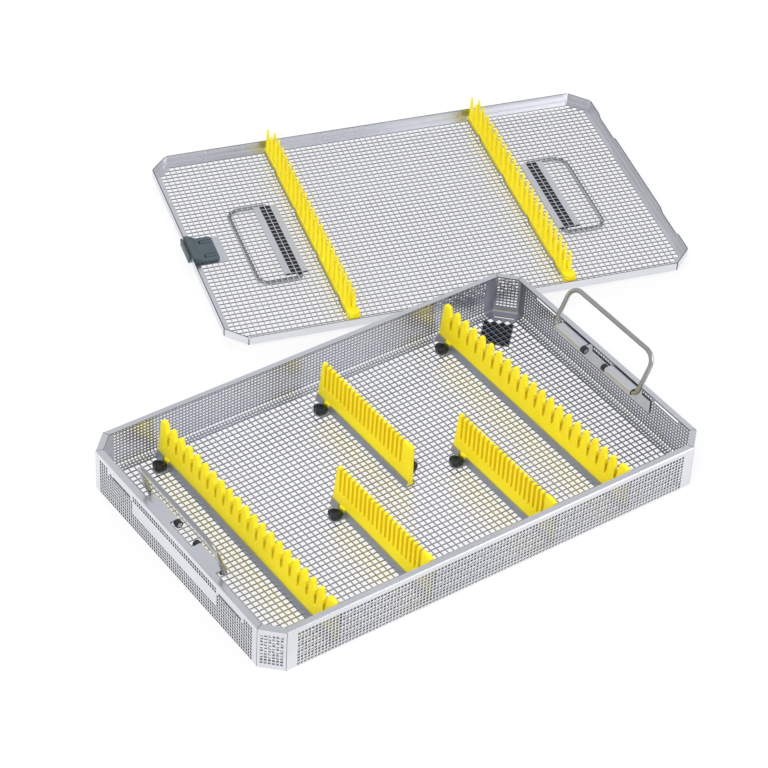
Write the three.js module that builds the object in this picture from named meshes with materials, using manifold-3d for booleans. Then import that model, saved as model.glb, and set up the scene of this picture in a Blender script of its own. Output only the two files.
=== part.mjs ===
// Instrument storage tray of perforated sheet steel, with finger combs on rails and a lift-off lid.
// Millimetres, +Z up. The origin is on the underside of the tray floor and x runs along the long walls.
import * as THREE from 'three';
import { mergeVertices } from 'three/addons/utils/BufferGeometryUtils.js';
import Module from 'manifold-3d';

const wasm = await Module();
wasm.setup();

// Sheet-steel body of the tray
const tray_length = 406;
const tray_width = 256;
const tray_height = 40;
const corner_chamfer = 15.5;
const sheet = 0.8;
const fold_radius = 3;
const long_foot_reach = 7.4;
const end_foot_reach = 7.4;
const corner_foot_reach = 9;
const rim_reach = 5.4;

// Clearances and counts that every piece shares
const seam_gap = 0.3;
const seat_gap = 0.1;
const overrun = 2;
const fold_steps = 3;
const round_steps = 12;
const mitre_angle = Math.PI / 8;
const quarter_turn = Math.PI / 2;

// Net of windows in the floor and in the walls
const net_bar = 3;
const floor_border = 4;
const floor_columns = 12;
const floor_rows = 8;
const wall_net_bottom = 3.2;
const wall_net_top = 35.2;
const wall_net_end = 9.5;
const long_wall_columns = 12;
const end_wall_columns = 8;
const corner_margin = 3.5;
const corner_net_bottom = 9.2;

// Solid band, side windows and rim slots of an end wall
const band_half_length = 58.5;
const band_bottom = 17.3;
const band_top = 29.3;
const rim_slot_start = 60;
const rim_slot_end = 90;
const rim_slot_height = 2.5;
const rim_slot_bottom = 31.3;

// Wire bail handles of the tray and the folded brackets that carry them
const wire_radius = 2;
const pivot_clearance = 0.1;
const sleeve_wall = 0.8;
const pivot_inset = 12.3;
const pivot_height = 36.7;
const bracket_length = 117;
const sleeve_start = 15.5;
const sleeve_end = 48;
const bush_length = 4;
const bush_wall = 1.1;
const bail_half_width = 52.5;
const bail_height = 36.5;
const bail_foot_bend = 4.2;
const bail_grip_bend = 11;
const wire_facet_count = 8;
const left_bail_lean = 18 * Math.PI / 180;
const right_bail_lean = 25 * Math.PI / 180;

// Channel rails that hold the combs: wider at the floor than at the mouth
const rail_width = 9.2;
const rail_mouth_width = 6.6;
const rail_height = 6;
const rail_base = 1.2;
const rail_wall = 0.7;
const rail_end_clearance = 1.5;
const short_rail_length = 124.5;
const rear_rail_end_gap = 17.3;
const notch_start = 10;
const notch_length = 8;
const left_rail_from_end = 63;
const right_rail_from_end = 73.8;
const front_left_rail_x = -55.8;
const rear_middle_rail_x = 3;
const front_right_rail_x = 58.3;

// Silicone combs: a foot in the rail and tapering fingers above it
const comb_base_thickness = 4.4;
const comb_tip_thickness = 3.5;
const comb_foot_height = 2.6;
const comb_band = 6;
const comb_finger_count = 21;
const comb_back_slope = 3.6;
const comb_lug_taper = 1.4;
const coarse_comb = {
  rise: 32.8,
  back_finger: 7.5,
  front_finger: 10,
  tip_corner: 1.8,
  gap_top: 6.8,
  gap_waist: 3,
  gap_bottom: 2.4,
  waist_depth: 13,
  gap_depth: 22,
};
const fine_comb = {
  rise: 34,
  back_finger: 3.6,
  front_finger: 11,
  tip_corner: 1.2,
  gap_top: 3,
  gap_waist: 2.6,
  gap_bottom: 2.2,
  waist_depth: 12,
  gap_depth: 24,
};

// Lobed knobs that lock each rail through the floor
const knob_radius = 5.9;
const knob_height = 5.8;
const knob_lobe_count = 6;
const knob_points = 24;
const knob_lobe_share = 0.16;
const knob_bevel = 0.8;
const knob_from_end = 15.8;
const stem_radius = 2;
const ear_radius = 5;

// Nubbed pad let into the floor behind the back right corner, square to the corner panel
const pad_pitch = 5;
const pad_rows = 8;
const pad_row_nubs = 4;
const pad_nub_radius = 1.9;
const pad_nub_height = 1.8;
const pad_border = 2;
const pad_nub_sides = 6;
const pad_corner_distance = 30.4;
const pad_corner_shift = 3.5;

// Lid, lying upside down behind the tray on its own handle brackets
const lid_clearance = 0.7;
const lid_flange = 8.5;
const lid_fold_radius = 1.8;
const lid_border = 7;
const lid_standoff = 1.79;
const lid_shift = 22.34;
const lid_turn = -16.6 * Math.PI / 180;
const lid_slit = 1.2;
const tab_start = 57;
const tab_end = 88;
const tab_drop = 2.5;

// Handles and brackets under the lid
const lid_hinge_x = 119;
const lid_bail_half_width = 52;
const lid_bail_reach = 36;
const lid_bracket_inner = 6.3;
const lid_bracket_outer = 13;
const lid_bracket_length = 96;
const lid_sleeve_start = 14;
const lid_sleeve_end = 46;

// Pin combs of the lid and the wire that clips each one down
const lid_comb_x = 95;
const lid_comb_end_gap = 7;
const lid_comb_width = 9;
const lid_comb_base = 5;
const lid_comb_height = 25;
const lid_pin_count = 21;
const pin_row_offset = 2.3;
const pin_row_thickness = 3.4;
const pin_tip_width = 2.07;
const pin_foot_width = 7.27;
const plug_radius = 5.6;
const plug_height = 7;
const clip_radius = 0.7;
const clip_loop_count = 4;
const clip_rise = 3;
const clip_loop_length = 6;
const clip_facet_count = 5;

// Latch at the left end of the lid
const latch_length = 32;
const latch_reach = 25;
const latch_plate = 2.4;
const latch_block_height = 7.2;
const latch_block_top = 5;
const latch_block_foot = 11;
const latch_corner = 2.2;
const tongue_slot = 0.9;
const tongue_width = 3;
const tongue_length = 9;
const tongue_offset = 9.5;
const slide_half_length = 9;
const slide_bottom = 2.6;
const slide_top = 5.4;
const slide_depth = 6;
const grip_half_length = 13;
const grip_thickness = 1.9;
const grip_bottom = 1;
const grip_top = 7.8;

// Sizes that follow from the ones above
const sleeve_bore = wire_radius + pivot_clearance;
const sleeve_radius = sleeve_bore + sleeve_wall;
const floor_top = sheet + seat_gap;
const lid_rest = sleeve_radius + sleeve_radius + seat_gap;
const rail_end_gap = rim_reach + rail_end_clearance;
const lid_overhang = lid_clearance + sheet;
const lid_length = tray_length + lid_overhang + lid_overhang;
const lid_width = tray_width + lid_overhang + lid_overhang;
const lid_chamfer = corner_chamfer + lid_overhang * (2 - Math.SQRT2);
const knob_offset = rail_width / 2 + knob_radius + seam_gap;
const wall_mitre_trim = seam_gap / 2 / Math.cos(mitre_angle);

const steel = { color: 0xa9adb2, roughness: 0.34, metalness: 0.9 };
const bright_steel = { color: 0xc4c6c9, roughness: 0.22, metalness: 1 };
const rail_grey = { color: 0x8a8e92, roughness: 0.5, metalness: 0.35 };
const yellow_silicone = { color: 0xebd723, roughness: 0.55, metalness: 0 };
const black_plastic = { color: 0x26292c, roughness: 0.5, metalness: 0 };
const slate_plastic = { color: 0x4c5f63, roughness: 0.45, metalness: 0 };

// A boolean solid from a closed three.js surface, and back again
function solidOf(geometry) {
  const bare = geometry.clone();
  bare.deleteAttribute('normal');
  bare.deleteAttribute('uv');
  const merged = mergeVertices(bare);
  return new wasm.Manifold(new wasm.Mesh({
    numProp: 3,
    vertProperties: merged.attributes.position.array,
    triVerts: merged.index.array,
  }));
}

function surfaceOf(solid) {
  const found = solid.getMesh();
  const geometry = new THREE.BufferGeometry();
  geometry.setAttribute('position', new THREE.BufferAttribute(new Float32Array(found.vertProperties), 3));
  geometry.setIndex(new THREE.BufferAttribute(new Uint32Array(found.triVerts), 1));
  const faceted = geometry.toNonIndexed();
  faceted.computeVertexNormals();
  return faceted;
}

function joined(solids) {
  return solids.reduce((sum, solid) => sum.add(solid));
}

// Outlines are lists of [across, up] points
function outline(points) {
  return new THREE.Shape(points.map(([across, up]) => new THREE.Vector2(across, up)));
}

function rectangle(left, right, bottom, top) {
  return outline([[left, bottom], [right, bottom], [right, top], [left, top]]);
}

function disc(radius, steps, x = 0, y = 0) {
  const points = [];
  for (let step = 0; step < steps; step += 1) {
    const angle = (step + 1 / 2) / steps * Math.PI * 2;
    points.push([x + radius * Math.cos(angle), y + radius * Math.sin(angle)]);
  }
  return outline(points);
}

function ring(outer, inner, x, y) {
  const shape = disc(outer, round_steps, x, y);
  shape.holes.push(disc(inner, round_steps, x, y));
  return shape;
}

// Plan outlines grow upwards in z from the given level
function raised(shapes, bottom, height) {
  const geometry = new THREE.ExtrudeGeometry(shapes, { depth: height, bevelEnabled: false });
  return solidOf(geometry.translate(0, 0, bottom));
}

// Cross-sections drawn as [inward, up] run along x from start to end
const section_axes = new THREE.Matrix4().makeBasis(
  new THREE.Vector3(0, 1, 0), new THREE.Vector3(0, 0, 1), new THREE.Vector3(1, 0, 0));

function along(shapes, start, end) {
  const geometry = new THREE.ExtrudeGeometry(shapes, { depth: end - start, bevelEnabled: false });
  geometry.translate(0, 0, start);
  return solidOf(geometry.applyMatrix4(section_axes));
}

// Elevations drawn as [along, up] run in y from near to far
const elevation_axes = new THREE.Matrix4().makeBasis(
  new THREE.Vector3(1, 0, 0), new THREE.Vector3(0, 0, 1), new THREE.Vector3(0, -1, 0));

function through(shapes, near, far) {
  const geometry = new THREE.ExtrudeGeometry(shapes, { depth: far - near, bevelEnabled: false });
  geometry.translate(0, 0, -far);
  return solidOf(geometry.applyMatrix4(elevation_axes));
}

// Windows of equal size between two edges, with a bar between neighbours
function windows(left, right, bottom, top, columns, rows, wanted = () => true) {
  const column_pitch = (right - left + net_bar) / columns;
  const row_pitch = (top - bottom + net_bar) / rows;
  const shapes = [];
  for (let column = 0; column < columns; column += 1) {
    for (let row = 0; row < rows; row += 1) {
      const x = left + column * column_pitch;
      const y = bottom + row * row_pitch;
      const x_end = x + column_pitch - net_bar;
      const y_end = y + row_pitch - net_bar;
      if (wanted(x, x_end, y, y_end)) {
        shapes.push(rectangle(x, x_end, y, y_end));
      }
    }
  }
  return shapes;
}

// Rectangle with cut corners; ends, sides and corners stand in from the nominal size by their own amounts
function cutCornerPlan(length, width, chamfer, end_inset, side_inset, corner_inset) {
  const half_x = length / 2 - end_inset;
  const half_y = width / 2 - side_inset;
  const corner_sum = (length + width) / 2 - chamfer - corner_inset * Math.SQRT2;
  const x_near = corner_sum - half_y;
  const y_near = corner_sum - half_x;
  return outline([
    [-x_near, -half_y], [x_near, -half_y], [half_x, -y_near], [half_x, y_near],
    [x_near, half_y], [-x_near, half_y], [-half_x, y_near], [-half_x, -y_near],
  ]);
}

// Folded sheet: foot, rounded bottom fold, upright face and an optional rim folded inward
function foldedSection(height, radius, foot, rim) {
  const points = [[foot, 0]];
  for (let step = 0; step <= fold_steps; step += 1) {
    const angle = step / fold_steps * quarter_turn;
    points.push([radius - radius * Math.sin(angle), radius - radius * Math.cos(angle)]);
  }
  points.push([0, height]);
  if (rim > 0) {
    points.push([rim, height], [rim, height - sheet], [sheet, height - sheet]);
  } else {
    points.push([sheet, height]);
  }
  const inner = radius - sheet;
  for (let step = fold_steps; step >= 0; step -= 1) {
    const angle = step / fold_steps * quarter_turn;
    points.push([radius - inner * Math.sin(angle), radius - inner * Math.cos(angle)]);
  }
  points.push([foot, sheet]);
  return outline(points);
}

// Plan wedge that mitres both ends of a side where it meets the next one
function mitred(solid, length, reach, trim, height) {
  const outer = length / 2 - trim;
  const slope = Math.tan(mitre_angle);
  const front = -overrun;
  const back = reach + overrun;
  const wedge = outline([
    [-outer + front * slope, front], [outer - front * slope, front],
    [outer - back * slope, back], [-outer + back * slope, back],
  ]);
  return solid.intersect(raised(wedge, -overrun, height + overrun + overrun));
}

// A bent wire: straight runs joined by arcs, swept from one outline along its stations
class BentWire extends THREE.Curve {
  constructor(stations) {
    super();
    this.stations = stations;
  }

  station(share) {
    return this.stations[Math.round(share * (this.stations.length - 1))];
  }

  getPointAt(share, target = new THREE.Vector3()) {
    return target.copy(this.station(share).point);
  }

  getTangentAt(share, target = new THREE.Vector3()) {
    return target.copy(this.station(share).heading);
  }
}

function bentWire(corners, bends, radius, sides, bend_steps) {
  const last = corners.length - 1;
  const heading = (from, to) => to.clone().sub(from).normalize();
  const stations = [{ point: corners[0], heading: heading(corners[0], corners[1]) }];
  for (let index = 1; index < last; index += 1) {
    const arriving = heading(corners[index - 1], corners[index]);
    const leaving = heading(corners[index], corners[index + 1]);
    const turn = arriving.angleTo(leaving);
    const axis = arriving.clone().cross(leaving).normalize();
    const bend = bends[index - 1];
    const start = corners[index].clone().addScaledVector(arriving, -bend * Math.tan(turn / 2));
    const centre = start.clone().addScaledVector(axis.clone().cross(arriving), bend);
    for (let step = 0; step <= bend_steps; step += 1) {
      const angle = turn * step / bend_steps;
      const arm = start.clone().sub(centre).applyAxisAngle(axis, angle);
      stations.push({ point: centre.clone().add(arm), heading: arriving.clone().applyAxisAngle(axis, angle) });
    }
  }
  stations.push({ point: corners[last], heading: heading(corners[last - 1], corners[last]) });
  return solidOf(new THREE.ExtrudeGeometry(disc(radius, sides), {
    steps: stations.length - 1,
    bevelEnabled: false,
    extrudePath: new BentWire(stations),
  }));
}

const object = new THREE.Group();
object.name = 'instrument_storage_tray';

function piece(name, solid, finish, parent = object) {
  const mesh = new THREE.Mesh(surfaceOf(solid), new THREE.MeshStandardMaterial(finish));
  mesh.name = name;
  parent.add(mesh);
  return mesh;
}

// A side frame: x along the side, y inward from its outer face
function sideFrame(name, x, y, z, turn, parent = object) {
  const frame = new THREE.Group();
  frame.name = name;
  frame.position.set(x, y, z);
  frame.rotation.z = turn;
  parent.add(frame);
  return frame;
}

const half_length = tray_length / 2;
const half_width = tray_width / 2;
const corner_middle = corner_chamfer / 2;
const front = sideFrame('front_side', 0, -half_width, 0, 0);
const right = sideFrame('right_side', half_length, 0, 0, quarter_turn);
const back = sideFrame('back_side', 0, half_width, 0, Math.PI);
const left = sideFrame('left_side', -half_length, 0, 0, -quarter_turn);
const corners = {
  front_right: [1, -1, quarter_turn / 2],
  back_right: [1, 1, quarter_turn + quarter_turn / 2],
  back_left: [-1, 1, Math.PI + quarter_turn / 2],
  front_left: [-1, -1, -quarter_turn / 2],
};

// Rails and their knobs: where each rail lies and which length it has
const rail_places = {
  long_left: left_rail_from_end - half_length,
  front_left: front_left_rail_x,
  rear_middle: rear_middle_rail_x,
  front_right: front_right_rail_x,
  long_right: half_length - right_rail_from_end,
};
const long_rail_length = tray_width - rail_end_gap - rail_end_gap;
const rear_rail_middle = half_width - rear_rail_end_gap - short_rail_length / 2;
const front_rail_middle = rail_end_gap + short_rail_length / 2 - half_width;
const rails = [
  { name: 'long_left', length: long_rail_length, y: 0, form: coarse_comb },
  { name: 'front_left', length: short_rail_length, y: front_rail_middle, form: fine_comb },
  { name: 'rear_middle', length: short_rail_length, y: rear_rail_middle, form: fine_comb },
  { name: 'front_right', length: short_rail_length, y: front_rail_middle, form: fine_comb },
  { name: 'long_right', length: long_rail_length, y: 0, form: coarse_comb },
];
const knob_places = rails.flatMap(({ name, length, y }) => [
  [rail_places[name] - knob_offset, y + length / 2 - knob_from_end],
  [rail_places[name] + knob_offset, y - length / 2 + knob_from_end],
]);

// Floor: a net of windows, whole where a knob stem passes
const floor_end_inset = end_foot_reach + seam_gap;
const floor_side_inset = long_foot_reach + seam_gap;
const floor_corner_inset = corner_foot_reach + seam_gap;
const net_x = half_length - floor_end_inset - floor_border;
const net_y = half_width - floor_side_inset - floor_border;
const pad_length = (pad_row_nubs - 1) * pad_pitch * Math.SQRT2 + pad_border + pad_border;
const pad_width = (pad_rows - 1) * pad_pitch / Math.SQRT2 + pad_border + pad_border;
const pad_reach = (pad_length + pad_width) / 2 / Math.SQRT2 + seam_gap + net_bar;
const pad_centre = new THREE.Vector2(pad_corner_shift, pad_corner_distance)
  .rotateAround(new THREE.Vector2(), corners.back_right[2])
  .add(new THREE.Vector2(half_length - corner_middle, half_width - corner_middle));

function clearOfKnobsAndCorners(x, x_end, y, y_end) {
  const blocked = knob_places.some(([knob_x, knob_y]) => knob_x > x - ear_radius
    && knob_x < x_end + ear_radius && knob_y > y - ear_radius && knob_y < y_end + ear_radius);
  const at_end = Math.max(Math.abs(x), Math.abs(x_end)) > net_x - net_bar;
  const at_side = Math.max(Math.abs(y), Math.abs(y_end)) > net_y - net_bar;
  const by_pad = x < pad_centre.x + pad_reach && x_end > pad_centre.x - pad_reach
    && y < pad_centre.y + pad_reach && y_end > pad_centre.y - pad_reach;
  return !blocked && !by_pad && !(at_end && at_side);
}

const floor_plan = cutCornerPlan(tray_length, tray_width, corner_chamfer,
  floor_end_inset, floor_side_inset, floor_corner_inset);
const floor_windows = windows(-net_x, net_x, -net_y, net_y, floor_columns, floor_rows, clearOfKnobsAndCorners);
const stem_holes = knob_places.map(([x, y]) => disc(stem_radius + seam_gap, round_steps, x, y));
const pad_half_length = pad_length / 2;
const pad_half_width = pad_width / 2;
const pad_opening = raised(rectangle(-pad_half_length - seam_gap, pad_half_length + seam_gap,
  -pad_half_width - seam_gap, pad_half_width + seam_gap), -overrun, sheet + overrun + overrun)
  .rotate([0, 0, THREE.MathUtils.radToDeg(corners.back_right[2])])
  .translate([pad_centre.x, pad_centre.y, 0]);
const floor = raised(floor_plan, 0, sheet)
  .subtract(raised([...floor_windows, ...stem_holes], -overrun, sheet + overrun + overrun))
  .subtract(pad_opening);
piece('tray_floor', floor, steel);

// Long walls: one folded sheet each, with a net of windows between the fold and the rim
const long_side = tray_length - corner_chamfer - corner_chamfer;
const end_side = tray_width - corner_chamfer - corner_chamfer;
const long_net = long_side / 2 - wall_net_end;
const end_net = end_side / 2 - corner_margin;

function wallBlank(length, foot_reach) {
  const section = foldedSection(tray_height, fold_radius, foot_reach, rim_reach);
  return mitred(along(section, -length / 2, length / 2), length, foot_reach, wall_mitre_trim, tray_height);
}

const long_windows = windows(-long_net, long_net, wall_net_bottom, wall_net_top, long_wall_columns, 2);
const long_wall = wallBlank(long_side, long_foot_reach).subtract(through(long_windows, -overrun, sheet + overrun));
piece('long_wall_front', long_wall, steel, front);
piece('long_wall_back', long_wall, steel, back);

// End walls: windows low down and beside the solid band, and two long slots close under the rim
const end_windows = [
  ...windows(-end_net, end_net, wall_net_bottom, band_bottom, end_wall_columns, 1),
  ...windows(-band_half_length, band_half_length, band_top, wall_net_top, end_wall_columns / 2, 1),
];
for (const side of [-1, 1]) {
  const window_start = Math.min(side * rim_slot_start, side * end_net);
  const window_end = Math.max(side * rim_slot_start, side * end_net);
  end_windows.push(...windows(window_start, window_end, band_bottom + net_bar, band_top, 2, 1));
  const slot_start = Math.min(side * rim_slot_start, side * rim_slot_end);
  const slot_end = Math.max(side * rim_slot_start, side * rim_slot_end);
  end_windows.push(rectangle(slot_start + net_bar, slot_end, rim_slot_bottom, rim_slot_bottom + rim_slot_height));
}
const end_wall = wallBlank(end_side, end_foot_reach).subtract(through(end_windows, -overrun, sheet + overrun));
piece('end_wall_right', end_wall, steel, right);
piece('end_wall_left', end_wall, steel, left);

// Corner panels: upright sheets across the cut corners with their own piece of rim
const corner_length = corner_chamfer * Math.SQRT2;
const corner_net = corner_length / 2 - corner_margin;
const corner_windows = windows(-corner_net, corner_net, corner_net_bottom, wall_net_top, 1, 2);
const corner_panel = wallBlank(corner_length, corner_foot_reach)
  .subtract(through(corner_windows, -overrun, sheet + overrun));
for (const [name, [x_side, y_side, turn]] of Object.entries(corners)) {
  const x = x_side * (half_length - corner_middle);
  const y = y_side * (half_width - corner_middle);
  piece(`corner_panel_${name}`, corner_panel, steel, sideFrame(`corner_${name}`, x, y, 0, turn));
}

// Handle brackets: welded plate, shelf folded inward and two rolled sleeves for the bail
const plate_start = sheet + seat_gap;
const sleeve_back = pivot_inset + sleeve_radius;
const bracket_plate = outline([
  [plate_start, band_bottom], [plate_start + sheet, band_bottom], [plate_start + sheet, band_top],
  [plate_start + sheet, band_top], [plate_start + sheet, band_top + sheet], [plate_start, band_top + sheet],
]);
const bracket_shelf = rectangle(plate_start, sleeve_back, band_top, band_top + sheet);
const sleeve_leg = rectangle(sleeve_back - sleeve_wall, sleeve_back, band_top, pivot_height);
const sleeve_roll = ring(sleeve_radius, sleeve_bore, pivot_inset, pivot_height);
const bracket = joined([
  along(bracket_plate, -bracket_length / 2, bracket_length / 2),
  along(bracket_shelf, -sleeve_end, sleeve_end),
  along(sleeve_leg, -sleeve_end, -sleeve_start),
  along(sleeve_leg, sleeve_start, sleeve_end),
  along(sleeve_roll, -sleeve_end, -sleeve_start),
  along(sleeve_roll, sleeve_start, sleeve_end),
]);

// Bails: one bent wire, its turned-in feet running in the sleeves and out through a bush
function bail(half_span, height, wire_end) {
  return bentWire([
    new THREE.Vector3(-wire_end, 0, 0), new THREE.Vector3(-half_span, 0, 0),
    new THREE.Vector3(-half_span, 0, height), new THREE.Vector3(half_span, 0, height),
    new THREE.Vector3(half_span, 0, 0), new THREE.Vector3(wire_end, 0, 0),
  ], [bail_foot_bend, bail_grip_bend, bail_grip_bend, bail_foot_bend], wire_radius, wire_facet_count, fold_steps);
}

const bush_end = sleeve_start - seam_gap;
const bush = along(ring(sleeve_bore + bush_wall, sleeve_bore, 0, 0), 0, bush_length);
const tray_bail = bail(bail_half_width, bail_height, bush_end - bush_length);
for (const [side, frame, lean] of [['left', left, left_bail_lean], ['right', right, right_bail_lean]]) {
  piece(`handle_bracket_${side}`, bracket, steel, frame);
  for (const [end, start] of [['a', bush_end - bush_length], ['b', -bush_end]]) {
    piece(`handle_bush_${side}_${end}`, bush, black_plastic, frame).position.set(start, pivot_inset, pivot_height);
  }
  const mesh = piece(`tray_handle_${side}`, tray_bail, bright_steel, frame);
  mesh.position.set(0, pivot_inset, pivot_height);
  mesh.rotation.x = lean;
}

// Rails: an open channel with sides leaning in, two notches and an ear under each knob
const half_rail = rail_width / 2;
const rail_lean = (rail_width - rail_mouth_width) / 2 / rail_height;

function railHalf(height) {
  return half_rail - rail_lean * height;
}

const rail_mouth = railHalf(rail_height) - rail_wall;
const rail_trough = railHalf(rail_base) - rail_wall;
const rail_section = outline([
  [-half_rail, 0], [half_rail, 0], [railHalf(rail_height), rail_height], [rail_mouth, rail_height],
  [rail_trough, rail_base], [-rail_trough, rail_base],
  [-rail_mouth, rail_height], [-railHalf(rail_height), rail_height],
]);

function ear(side) {
  const reach = new THREE.Shape();
  reach.moveTo(0, -ear_radius);
  reach.lineTo(knob_offset, -ear_radius);
  for (let step = 1; step < fold_steps + fold_steps; step += 1) {
    const angle = step / (fold_steps + fold_steps) * Math.PI - quarter_turn;
    reach.lineTo(knob_offset + ear_radius * Math.cos(angle), ear_radius * Math.sin(angle));
  }
  reach.lineTo(knob_offset, ear_radius);
  reach.lineTo(0, ear_radius);
  reach.holes.push(disc(stem_radius + seam_gap, round_steps, knob_offset, 0));
  return raised(reach, 0, rail_base).rotate([0, 0, side > 0 ? 0 : THREE.MathUtils.radToDeg(Math.PI)]);
}

function railSolid(length) {
  const channel = along(rail_section, -length / 2, length / 2).rotate([0, 0, THREE.MathUtils.radToDeg(quarter_turn)]);
  const ear_y = length / 2 - knob_from_end;
  const notch_y = length / 2 - notch_start;
  const notches = [
    rectangle(-half_rail - overrun, -rail_mouth, notch_y - notch_length, notch_y),
    rectangle(rail_mouth, half_rail + overrun, -notch_y, notch_length - notch_y),
  ];
  return channel.subtract(raised(notches, rail_base, rail_height))
    .add(ear(-1).translate([0, ear_y, 0]))
    .add(ear(1).translate([0, -ear_y, 0]));
}

// Combs: finger outline along y, cut to a section with a foot, a neck and a slender tip
const comb_foot_bottom = rail_base + seat_gap;
const comb_foot_top = comb_foot_bottom + comb_foot_height;
const comb_foot_half = railHalf(comb_foot_bottom) - rail_wall - seam_gap;
const comb_shoulder_half = railHalf(comb_foot_top) - rail_wall - seam_gap;
const comb_neck_half = comb_base_thickness / 2;
const comb_tip_half = comb_tip_thickness / 2;

function combSection(top) {
  return outline([
    [-comb_foot_half, comb_foot_bottom], [comb_foot_half, comb_foot_bottom],
    [comb_shoulder_half, comb_foot_top], [comb_neck_half, comb_foot_top],
    [comb_neck_half, rail_height + comb_band], [comb_tip_half, top], [-comb_tip_half, top],
    [-comb_neck_half, rail_height + comb_band], [-comb_neck_half, comb_foot_top],
    [-comb_shoulder_half, comb_foot_top],
  ]);
}

// Fingers from the front end to the back end; each gap narrows to a waist and runs on as a slot
function fingerOutline(length, bottom, top, count, form) {
  const half = length / 2;
  const { back_finger, front_finger, tip_corner, gap_top, gap_waist, gap_bottom } = form;
  const slope = form.back_slope ?? 0;
  const shoulder = form.shoulder ?? bottom;
  const pitch = (length - back_finger - slope - front_finger - gap_top) / (count - 2);
  const waist = top - form.waist_depth;
  const root = top - form.gap_depth;
  const points = [[-half, bottom], [half, bottom], [half, top - tip_corner], [half - tip_corner, top]];
  for (let gap = 0; gap < count - 1; gap += 1) {
    const middle = half - front_finger - gap_top / 2 - gap * pitch;
    points.push([middle + gap_top / 2 + tip_corner / 2, top], [middle + gap_top / 2, top - tip_corner]);
    points.push([middle + gap_waist / 2, waist], [middle + gap_bottom / 2, root]);
    points.push([middle - gap_bottom / 2, root], [middle - gap_waist / 2, waist]);
    points.push([middle - gap_top / 2, top - tip_corner], [middle - gap_top / 2 - tip_corner / 2, top]);
  }
  points.push([slope + tip_corner - half, top], [slope - half, top - tip_corner], [-half, shoulder]);
  return outline(points);
}

function combSolid(length, form) {
  const top = rail_height + form.rise;
  const fingers = fingerOutline(length, comb_foot_bottom, top, comb_finger_count,
    { ...form, back_slope: comb_back_slope, shoulder: rail_height });
  const blade = through(fingers, -rail_width, rail_width).intersect(along(combSection(top), -length, length));
  const notch_y = length / 2 - notch_start - seam_gap;
  const lug_end = notch_start + notch_length - seam_gap - length / 2;
  const lug_bottom = comb_foot_bottom + seat_gap;
  const lug_section = outline([
    [-railHalf(lug_bottom), lug_bottom], [railHalf(lug_bottom), lug_bottom],
    [railHalf(rail_height), rail_height], [-railHalf(rail_height), rail_height],
  ]);
  const lug_plan = [
    outline([
      [comb_lug_taper - notch_y, -half_rail], [lug_end - comb_lug_taper, -half_rail], [lug_end, 0], [-notch_y, 0],
    ]),
    outline([
      [-lug_end, 0], [notch_y, 0], [notch_y - comb_lug_taper, half_rail], [comb_lug_taper - lug_end, half_rail],
    ]),
  ];
  const lugs = along(lug_section, -length / 2, length / 2).intersect(raised(lug_plan, 0, top));
  return blade.add(lugs).rotate([0, 0, -THREE.MathUtils.radToDeg(quarter_turn)]);
}

// Knobs: a lobed outline with eased edges on a stem that reaches into the floor
const knob_outline = [];
for (let point = 0; point < knob_points; point += 1) {
  const angle = point / knob_points * Math.PI * 2;
  const lobe = 1 - knob_lobe_share * (1 - Math.cos(angle * knob_lobe_count)) / 2;
  const radius = (knob_radius - knob_bevel) * lobe;
  knob_outline.push([radius * Math.cos(angle), radius * Math.sin(angle)]);
}
const knob_grip = new THREE.ExtrudeGeometry(outline(knob_outline), {
  depth: knob_height - knob_bevel - knob_bevel,
  bevelThickness: knob_bevel,
  bevelSize: knob_bevel,
  bevelSegments: 1,
}).translate(0, 0, rail_base + seam_gap + knob_bevel);
const stem_bottom = -seat_gap - sheet / 2;
const stem_height = rail_base + seam_gap + knob_bevel - stem_bottom;
const knob = solidOf(knob_grip).add(raised(disc(stem_radius, round_steps), stem_bottom, stem_height));

for (const { name, length, y, form } of rails) {
  const assembly = sideFrame(`${name}_rail_assembly`, rail_places[name], y, floor_top, 0);
  piece(`comb_rail_${name}`, railSolid(length), rail_grey, assembly);
  piece(`finger_comb_${name}`, combSolid(length, form), yellow_silicone, assembly);
  const knob_y = length / 2 - knob_from_end;
  piece(`rail_knob_${name}_back`, knob, black_plastic, assembly).position.set(-knob_offset, knob_y, 0);
  piece(`rail_knob_${name}_front`, knob, black_plastic, assembly).position.set(knob_offset, -knob_y, 0);
}

// Corner pad: a mat with staggered rows of nubs
const nubs = [];
for (let row = 0; row < pad_rows; row += 1) {
  const row_nubs = pad_row_nubs - row % 2;
  for (let nub = 0; nub < row_nubs; nub += 1) {
    const x = (nub - (row_nubs - 1) / 2) * pad_pitch * Math.SQRT2;
    const y = (row - (pad_rows - 1) / 2) * pad_pitch / Math.SQRT2;
    nubs.push(disc(pad_nub_radius, pad_nub_sides, x, y));
  }
}
const pad_plan = rectangle(-pad_half_length, pad_half_length, -pad_half_width, pad_half_width);
const pad = joined([raised(pad_plan, 0, sheet), ...nubs.map((nub) => raised(nub, 0, sheet + pad_nub_height))]);
const pad_piece = piece('corner_pad', pad, black_plastic);
pad_piece.position.set(pad_centre.x, pad_centre.y, 0);
pad_piece.rotation.z = corners.back_right[2];

// Lid: flat net with a low flange folded up on all eight sides, slit at the corners
const lid = new THREE.Group();
lid.name = 'lid';
const half_lid_length = lid_length / 2;
const half_lid_width = lid_width / 2;
const lid_centre = new THREE.Vector2(-lid_shift, half_lid_width + lid_standoff)
  .rotateAround(new THREE.Vector2(), lid_turn)
  .add(new THREE.Vector2(half_length - corner_chamfer, half_width));
lid.position.set(lid_centre.x, lid_centre.y, 0);
lid.rotation.z = lid_turn;
object.add(lid);
const lid_corner_middle = lid_chamfer / 2;
const lid_foot = lid_fold_radius + net_bar;
const lid_section = foldedSection(lid_flange, lid_fold_radius, lid_foot, 0);

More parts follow.
